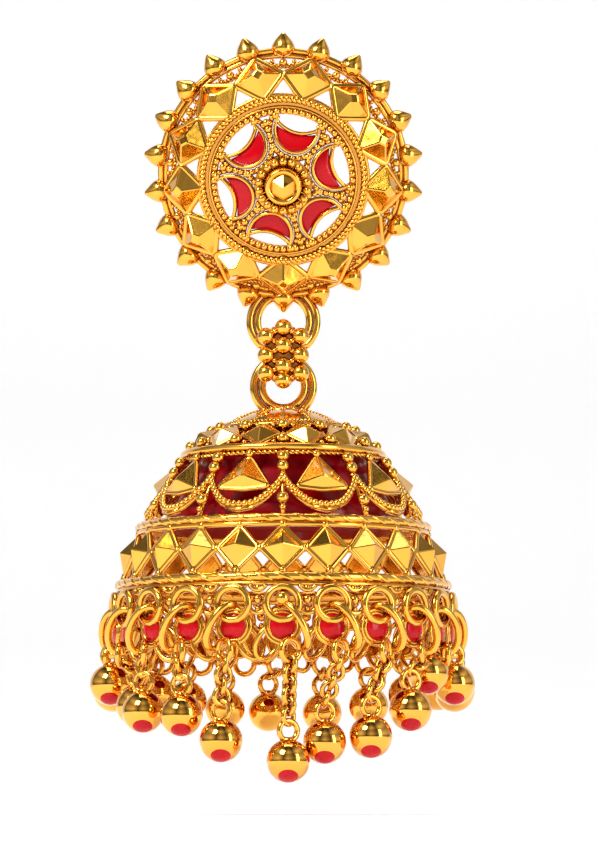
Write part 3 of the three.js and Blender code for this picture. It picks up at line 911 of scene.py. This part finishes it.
# %% Waist, hip and hem
bands = Pile()
bands.add(wire(bell_circle(WAIST[0] + 0.12, WAIST[1]), 0.3, 12))
for strand in rope(bell_circle(WAIST[0] + 0.2, WAIST[1] - 0.42, 300), 0.34, 0.8):
    bands.add(strand)
for (radius, height), thick in ((HIP, 0.62), (HEM, 0.72)):
    bands.add(spun([(radius - 0.2, height + 0.28), (radius + 0.1, height + 0.2),
                    (radius + 0.12, height - 0.42), (radius - 0.15, height - 0.45)], 180, True),
              Matrix.Translation((0, ring_plane, 0)))
    bands.add(wire(bell_circle(radius + 0.14, height), thick * 0.46, 12))
    for strand in rope(bell_circle(radius + 0.14, height, 300), thick, 2.9, sides=10, steps=14):
        bands.add(strand)
    bands.add(wire(bell_circle(radius + 0.2, height - thick * 0.5 - 0.12), 0.2, 10))
bands.make("bell_bands", "bell", wire_gold, "gold", ["bell_shell"])

# %% [markdown]
# ## The scalloped tier
#
# Ten scallops run round the widest slope of the bell. In each, a triangular plate with its high
# point near the base hangs from the waist, and a granulated wire swings below it from one
# column of three beads to the next. Everything between is open and shows the red lining.

# %% Scallops, triangles and bead columns
SCALLOP_COUNT = 10
tier_length = math.dist(WAIST, HIP)
scallops = Pile()
triangles = Pile()
tri_border = [(-1.95, -1.12), (-1.1, -1.3), (0, -1.36), (1.1, -1.3), (1.95, -1.12), (0.14, 1.42), (-0.14, 1.42)]
triangle = cut_plate(tri_border, (0, -0.7, 0.8), base=0.2, soft=0.06)
tri_corners = [(-1.85, -1.2), (0, -1.4), (1.85, -1.2), (0, 1.42)]
for index in range(SCALLOP_COUNT):
    centre = 18 + 36 * index
    plate_place = on_wall(WAIST, HIP, centre, 2.35, 0, 0.05)
    add_bordered(triangles, triangle, tri_corners, 0.2, plate_place)
    scallops.add(ball(0.3, 14, 10), on_wall(WAIST, HIP, centre, 0.72, 0, 0.15))
    swing = []
    for step in np.linspace(-1, 1, 31):
        swing.append((2.55 * step, 5.1 - 2.1 * abs(step) ** 2.6))
    arc_line = wall_curve(WAIST, HIP, centre, swing, 0.16)
    under_line = wall_curve(WAIST, HIP, centre, [(a * 1.02, d + 0.22) for a, d in swing], 0.0)
    grains_along(scallops, arc_line, 0.27, 0.4, closed=False, detail=(12, 8))
    scallops.add(wire(arc_line, 0.17, 8, closed=False))
    scallops.add(wire(under_line, 0.17, 8, closed=False))
    scallops.add(wire(wall_curve(WAIST, HIP, centre, [(-1.0, 5.2), (0, 5.45), (1.0, 5.2)]), 0.22, 8,
                      closed=False))
    column = 36 * index
    for down, size in ((1.0, 0.44), (1.85, 0.44), (2.75, 0.3), (4.6, 0.44)):
        scallops.add(ball(size, 20, 14), on_wall(WAIST, HIP, column, down, 0, 0.2))
    for down in (5.35, 2.45):
        scallops.add(ball(0.24), on_wall(WAIST, HIP, column, down, 0, 0.1))
    scallops.add(wire(wall_curve(WAIST, HIP, column, [(0, 0.1), (0, 6.0)], -0.05), 0.16, 8, closed=False))
triangles.make("scallop_triangles", "bell", plate_gold, "gold", ["bell_shell"])
scallops.make("scallop_wires", "bell", wire_gold, "gold", ["bell_shell"])

# %% [markdown]
# ## The tier of rhombi
#
# Twenty-two rhombic plates stand side by side between the hip and the hem, each with a raised
# border and a sharp peak crossed by a ridge. Short stems join it to both bands. The gaps above
# and below the side corners stay open.

# %% The rhombus tier
COLUMN_COUNT = 22
rhombi = Pile()
hem_length = math.dist(HIP, HEM)
plate = cut_plate(rhombus(1.42, 1.58), (0, 0, 0.85), base=0.15, soft=0.05)
for index in range(COLUMN_COUNT):
    degrees = 360 * index / COLUMN_COUNT
    middle = on_wall(HIP, HEM, degrees, hem_length * 0.515)
    add_bordered(rhombi, plate, rhombus(1.5, 1.66), 0.21, middle)
    for ends in ((0.25, 0.75), (hem_length - 0.75, hem_length - 0.2)):
        stem = wall_curve(HIP, HEM, degrees, [(0, ends[0]), (0, ends[1])])
        rhombi.add(wire(stem, 0.3, 12, closed=False))
    joint = degrees + 180 / COLUMN_COUNT
    rhombi.add(ball(0.3, 12, 8), on_wall(HIP, HEM, joint, hem_length * 0.515))
rhombi.make("rhombus_tier", "bell", plate_gold, "gold", ["bell_shell"])
cap_tier.make("cap_grains", "bell", wire_gold, "gold", ["bell_shell"])

# %% [markdown]
# ## The red lining
#
# A thin red shell backs the crown and the scalloped tier. It is a smooth surface of revolution,
# closed at the top behind the dome, so it is spun from a short outline through its tiers.

# %% The lining
lining = Pile()
inner_line = [(0.9, -18.05), (2.5, -18.35), (4.15, -19.05), (5.9, -20.5), (6.7, -22.0), (7.8, -23.9), (8.95, -25.7)]
thickness = 0.3
outline = inner_line + [(r - thickness, z - 0.16) for r, z in reversed(inner_line)]
lining.add(spun(outline, 120, True), Matrix.Translation((0, ring_plane, 0)))
lining.make("bell_lining", "bell", red_lining, "lining", ["red_lining"])

# %% [markdown]
# ## The eyelet row
#
# Under the hem hangs a row of plain rings, one to a column, soldered side by side with small
# curls of wire and beads. Behind and below each one is a doubled ring that holds a red enamel
# disc.

# %% Eyelets and enamel discs
EYELET_RADIUS, EYELET_HEIGHT, DISC_BELOW = 11.9, -31.5, 1.8


def at_column(degrees, radius, height, lean=0.0):
    return (
        Matrix.Translation((0, ring_plane, 0))
        @ Matrix.Rotation(math.radians(degrees), 4, "Z")
        @ Matrix.Translation((0, -radius, height))
        @ Matrix.Rotation(math.radians(lean), 4, "X")
    )


def flat_ring(radius, count=40):
    angles = np.arange(count) * TURN / count
    return np.stack([radius * np.cos(angles), np.zeros(count), radius * np.sin(angles)], axis=1)


eyelets = Pile()
discs = {}
for index in range(COLUMN_COUNT):
    degrees = 360 * index / COLUMN_COUNT
    here = at_column(degrees, EYELET_RADIUS + 0.42, EYELET_HEIGHT - 0.25)
    eyelets.add(wire(flat_ring(1.14), 0.28, 12), here)
    disc_place = at_column(degrees, EYELET_RADIUS + 0.12, EYELET_HEIGHT - DISC_BELOW)
    eyelets.add(wire(flat_ring(1.2), 0.15, 8), disc_place)
    eyelets.add(wire(flat_ring(0.98), 0.12, 8), disc_place @ Matrix.Translation((0, -0.12, 0)))
    eyelets.add(spun([(0.001, -0.08), (1.15, -0.08), (1.15, 0.12), (0.001, 0.12)], 32),
                disc_place @ FACE_FRONT, smooth=False)
    between = degrees + 180 / COLUMN_COUNT
    eyelets.add(ball(0.36, 14, 10), at_column(between, EYELET_RADIUS + 0.1, EYELET_HEIGHT + 0.05))
    eyelets.add(ball(0.25, 12, 8), at_column(between, EYELET_RADIUS + 0.05, EYELET_HEIGHT + 0.85))
    eyelets.add(ball(0.22, 12, 8), at_column(between, EYELET_RADIUS + 0.1, EYELET_HEIGHT - 0.6))
    enamel = Pile()
    enamel.add(spun([(0.001, 0.24), (0.45, 0.22), (0.78, 0.15), (0.9, 0.06), (0.9, 0.0), (0.001, 0.0)], 40),
               disc_place @ Matrix.Translation((0, -0.14, 0)) @ FACE_FRONT)
    number = f"{index + 1:02d}"
    enamel.make(f"red_disc_{number}", "bell", red_enamel, "red_enamel", [f"fringe_enamel_{number}"])
    curl = np.radians(np.linspace(200, 340, 12))
    curl_line = np.stack([0.6 * np.cos(curl), np.zeros(12), 0.55 * np.sin(curl)], axis=1)
    for height in (1.25, -0.35):
        curl_place = at_column(between, EYELET_RADIUS + 0.2, EYELET_HEIGHT + height)
        eyelets.add(wire(curl_line, 0.17, 8, closed=False), curl_place)
eyelets.add(ball(0.52, 20, 14), at_column(0, EYELET_RADIUS + 0.45, EYELET_HEIGHT + 0.1))
eyelets.make("eyelet_row", "bell", wire_gold, "gold", ["bell_shell"])

# %% [markdown]
# ## The fringe
#
# From each eyelet a slanting jump ring leads outwards and down to a short cable chain with a
# polished ball on its end. The chain follows a straight line from the ring to the ball. Each
# ball carries a red enamel dot, let into its lower half, that faces the front on the front half
# of the bell and the back on the back half.

# %% Where the balls hang
BALL_RADIUS = 1.5


def drop_ends(index):
    """The top of a drop and its ball's centre, read from the fixed model's drop."""
    mesh = frame["nodes"][f"chain_drop_{index + 1:02d}"].data
    points = np.array([v.co[:] for v in mesh.vertices]) / MM
    lowest = points[points[:, 2].argmin()]
    highest = points[points[:, 2] > points[:, 2].max() - 0.4].mean(axis=0)
    return Vector(highest), Vector(lowest) + Vector((0, 0, BALL_RADIUS))


def link_ring(half_width, half_height, count=18):
    angles = np.arange(count) * TURN / count
    return np.stack([half_width * np.cos(angles), np.zeros(count), half_height * np.sin(angles)], axis=1)


def chain_links(pile, top, bottom, pitch, half_width, wire_radius):
    """Oval links in a row, each turned a quarter from the last."""
    line = bottom - top
    count = max(1, round(line.length / pitch))
    step = line.length / count
    upright = line.to_track_quat("-Z", "Y").to_matrix().to_4x4()
    loop = wire(link_ring(half_width, step / 2 + wire_radius * 1.1), wire_radius, 7)
    for number in range(count):
        centre = top + line * ((number + 0.5) / count)
        turn = Matrix.Rotation(math.radians(90 * (number % 2) + 25), 4, "Z")
        pile.add(loop, Matrix.Translation(centre) @ upright @ turn)


# %% [markdown]
# ## The enamel dots
#
# A dot follows the ball's surface, so it is cut from a slightly larger ball: rings of points at
# growing angles from the dot's centre, pushed just clear of the gold, with a rolled edge that
# sinks back into it.

# %% Balls, dots and chains
def dot_cap(radius, spread, sides=36, rings=8):
    points = []
    for share in np.linspace(0.001, 1.0, rings):
        lift = 0.05 * (1 - share**6) - 0.02 * share**6
        angle = math.radians(spread) * share
        for turn in np.arange(sides) * TURN / sides:
            reach = (radius + lift) * math.sin(angle)
            points.append((reach * math.cos(turn), reach * math.sin(turn), (radius + lift) * math.cos(angle)))
    return np.array(points), [grid_faces(rings, sides)]


DOT_SPREAD, DOT_DOWN = 30, 52
polished = ball(BALL_RADIUS, 48, 32)
dot = dot_cap(BALL_RADIUS, DOT_SPREAD)
for index in range(COLUMN_COUNT):
    top, centre = drop_ends(index)
    degrees = 360 * index / COLUMN_COUNT
    signed = degrees if degrees <= 180 else degrees - 360
    side = 1 if signed >= 0 else -1
    chain = Pile()
    eyelet = at_column(degrees, EYELET_RADIUS + 0.25, EYELET_HEIGHT - 0.3).translation
    hook_end = at_column(degrees + side * 7.5, EYELET_RADIUS + 0.45, EYELET_HEIGHT - 3.35).translation
    hook_middle = (eyelet + hook_end) / 2
    slant = (hook_end - eyelet)
    hook_turn = slant.to_track_quat("-Z", "Y").to_matrix().to_4x4()
    hook_turn = hook_turn @ Matrix.Rotation(math.radians(38 * side), 4, "Z")
    hook = wire(link_ring(1.02, slant.length / 2, 28), 0.27, 12)
    chain.add(hook, Matrix.Translation(hook_middle) @ hook_turn)
    ball_top = centre + Vector((0, 0, BALL_RADIUS))
    small_ring = at_column(degrees + side * 2.5, EYELET_RADIUS + 0.55, EYELET_HEIGHT - 3.5)
    chain.add(wire(flat_ring(0.78, 24), 0.22, 9), small_ring @ Matrix.Rotation(0.6 * side, 4, "Z"))
    chain_top = small_ring.translation + Vector((0, 0, -0.55))
    tucked = at_column(degrees - side * 5, EYELET_RADIUS - 0.25, EYELET_HEIGHT - 2.9)
    tucked_turn = Matrix.Rotation(0.5 * side, 4, "Y") @ Matrix.Rotation(0.5, 4, "Z")
    chain.add(wire(link_ring(0.8, 1.25, 24), 0.21, 9), tucked @ tucked_turn)
    last_ring = 0.7
    chain.add(wire(flat_ring(last_ring, 24), 0.2, 9),
              Matrix.Translation(ball_top + Vector((0, 0, last_ring * 0.8))) @ Matrix.Rotation(0.5 * side, 4, "Z"))
    chain_end = ball_top + Vector((0, 0, last_ring * 1.7))
    if chain_top.z - chain_end.z > 0.3:
        chain_links(chain, chain_top, chain_end, 0.7, 0.5, 0.19)
    number = f"{index + 1:02d}"
    chain.make(f"chain_{number}", "bell", wire_gold, "gold_balls", [f"chain_drop_{number}"])
    sphere = Pile()
    sphere.add(polished, Matrix.Translation(centre))
    sphere.add(spun([(0.2, 0.14), (0.34, 0.1), (0.42, -0.05), (0.42, -0.2)], 20), Matrix.Translation(ball_top))
    sphere.make(f"ball_{number}", "bell", ball_gold, "gold_balls", [f"chain_drop_{number}"])
    facing = 0 if abs(signed) < 95 else math.pi
    aim = Matrix.Rotation(facing, 4, "Z") @ Matrix.Rotation(math.radians(90 + DOT_DOWN), 4, "X")
    spot = Pile()
    spot.add(dot, Matrix.Translation(centre) @ aim)
    spot.make(f"dot_{number}", "bell", red_enamel, "red_enamel")

# %% [markdown]
# ## Floor, light and camera
#
# Polished gold shows the room more than itself. A bright room with a few darker gaps gives it
# both its glow and its dark accents, so the room is a white sky with soft lamps, and the floor
# is pale. The camera looks slightly upwards from just above the floor, as at an earring hung at
# eye level.

# %% The floor
floor_mesh = bpy.data.meshes.new("studio_floor")
low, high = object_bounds()
floor_height = low[2] - 0.0022
grid = bmesh.new()
profile = [(-0.6, 0.0), (0.25, 0.0), (0.34, 0.006), (0.42, 0.03), (0.48, 0.08), (0.5, 0.16), (0.5, 0.6)]
rows = [[grid.verts.new((x, y, floor_height + z)) for x in (-0.8, 0.8)] for y, z in profile]
for first, second in zip(rows, rows[1:]):
    grid.faces.new((first[0], first[1], second[1], second[0])).smooth = True
grid.to_mesh(floor_mesh)
grid.free()
studio_floor = bpy.data.objects.new("studio_floor", floor_mesh)
bpy.context.scene.collection.objects.link(studio_floor)
paper = bpy.data.materials.new("pale_paper")
paper.use_nodes = True
paper_node = paper.node_tree.nodes["Principled BSDF"]
paper_node.inputs["Base Color"].default_value = (0.93, 0.93, 0.93, 1)
paper_node.inputs["Roughness"].default_value = 0.9
paper_node.inputs["Emission Color"].default_value = (1, 1, 1, 1)
paper_node.inputs["Emission Strength"].default_value = 0.3
floor_mesh.materials.append(paper)

# %% The lights
# Brightness of the room: by height from floor to ceiling, and by direction round the room.
HEIGHT_STOPS = (
    (0.0, 0.4), (0.22, 0.25), (0.33, 0.8), (0.43, 0.07), (0.49, 0.08), (0.6, 1.0), (0.76, 0.45),
    (0.86, 1.0), (0.95, 0.2), (1.0, 0.15),
)
ANGLE_STOPS = (
    (0.0, 0.75), (0.07, 0.12), (0.15, 1.0), (0.28, 0.5), (0.36, 0.15), (0.6, 0.3), (0.7, 0.6),
    (0.83, 1.0), (0.91, 0.15), (1.0, 0.75),
)
ROOM_STRENGTH = 0.98
scene = bpy.context.scene
scene.view_settings.view_transform = "Standard"
world = bpy.data.worlds.new("white_room")
world.use_nodes = True
room = world.node_tree
outlook = room.nodes["World Output"]
seen = room.nodes["Background"]
seen.inputs["Color"].default_value = (1, 1, 1, 1)
seen.inputs["Strength"].default_value = 1.0
mirrored = node(room, "ShaderNodeBackground")
direction = node(room, "ShaderNodeTexCoord")
split = node(room, "ShaderNodeSeparateXYZ")
room.links.new(direction.outputs["Generated"], split.inputs["Vector"])
round_angle = node(room, "ShaderNodeMath", operation="ARCTAN2")
room.links.new(split.outputs["X"], round_angle.inputs[0])
room.links.new(split.outputs["Y"], round_angle.inputs[1])


def band_ramp(value, stops):
    ramp = node(room, "ShaderNodeValToRGB")
    room.links.new(value, ramp.inputs["Factor"] if "Factor" in ramp.inputs else ramp.inputs["Fac"])
    while len(ramp.color_ramp.elements) < len(stops):
        ramp.color_ramp.elements.new(0.5)
    for element, (at, level) in zip(ramp.color_ramp.elements, stops):
        element.position = at
        element.color = (level, level, level, 1)
    return ramp.outputs["Color"]


def scaled(value, low_end, high_end):
    span = node(room, "ShaderNodeMapRange")
    socket_values(span, From_Min=low_end, From_Max=high_end)
    room.links.new(value, span.inputs["Value"])
    return span.outputs["Result"]


# Upright bands by height, and panels by direction round the room.
by_height = band_ramp(scaled(split.outputs["Z"], -1, 1), HEIGHT_STOPS)
by_angle = band_ramp(scaled(round_angle.outputs["Value"], -math.pi, math.pi), ANGLE_STOPS)
both = node(room, "ShaderNodeMix", data_type="RGBA", blend_type="MULTIPLY")
both.inputs["Factor"].default_value = 1.0
room.links.new(by_height, both.inputs["A"])
room.links.new(by_angle, both.inputs["B"])
room.links.new(both.outputs["Result"], mirrored.inputs["Color"])
mirrored.inputs["Strength"].default_value = ROOM_STRENGTH
path_kind = node(room, "ShaderNodeLightPath")
choose = node(room, "ShaderNodeMixShader")
room.links.new(path_kind.outputs["Is Camera Ray"], choose.inputs["Fac"])
room.links.new(mirrored.outputs["Background"], choose.inputs[1])
room.links.new(seen.outputs["Background"], choose.inputs[2])
room.links.new(choose.outputs["Shader"], outlook.inputs["Surface"])
scene.world = world
middle = Vector(((low[0] + high[0]) / 2, (low[1] + high[1]) / 2, (low[2] + high[2]) / 2))


def soft_lamp(name, offset, size, power, height_size=None):
    lamp = bpy.data.lights.new(name, "AREA")
    lamp.shape = "RECTANGLE"
    lamp.size = size
    lamp.size_y = height_size or size
    lamp.energy = power
    lamp_object = bpy.data.objects.new(name, lamp)
    lamp_object.location = middle + Vector(offset)
    lamp_object.rotation_euler = Vector(offset).to_track_quat("Z", "Y").to_euler()
    scene.collection.objects.link(lamp_object)


soft_lamp("key_lamp", (-0.16, -0.2, 0.22), 0.12, 0.9)
soft_lamp("fill_lamp", (0.26, -0.2, 0.05), 0.08, 0.35, 0.24)
soft_lamp("top_lamp", (0.0, 0.05, 0.34), 0.2, 0.45)

# %% The camera
camera_data = bpy.data.cameras.new("front_camera")
camera = bpy.data.objects.new("front_camera", camera_data)
scene.collection.objects.link(camera)
scene.camera = camera
CAMERA_DISTANCE, CAMERA_ELEVATION = 0.26, -6.0
PICTURE_HEIGHT = 0.0614
camera_data.sensor_width = 36
camera_data.lens = 36 * CAMERA_DISTANCE / PICTURE_HEIGHT
camera_data.clip_start, camera_data.clip_end = 0.01, 10
tilt = math.radians(CAMERA_ELEVATION)
look_at = Vector((0.0011, 0.0, -0.01845))
camera.location = look_at + CAMERA_DISTANCE * Vector((0, -math.cos(tilt), math.sin(tilt)))
camera.rotation_euler = (math.pi / 2 - tilt, 0, 0)
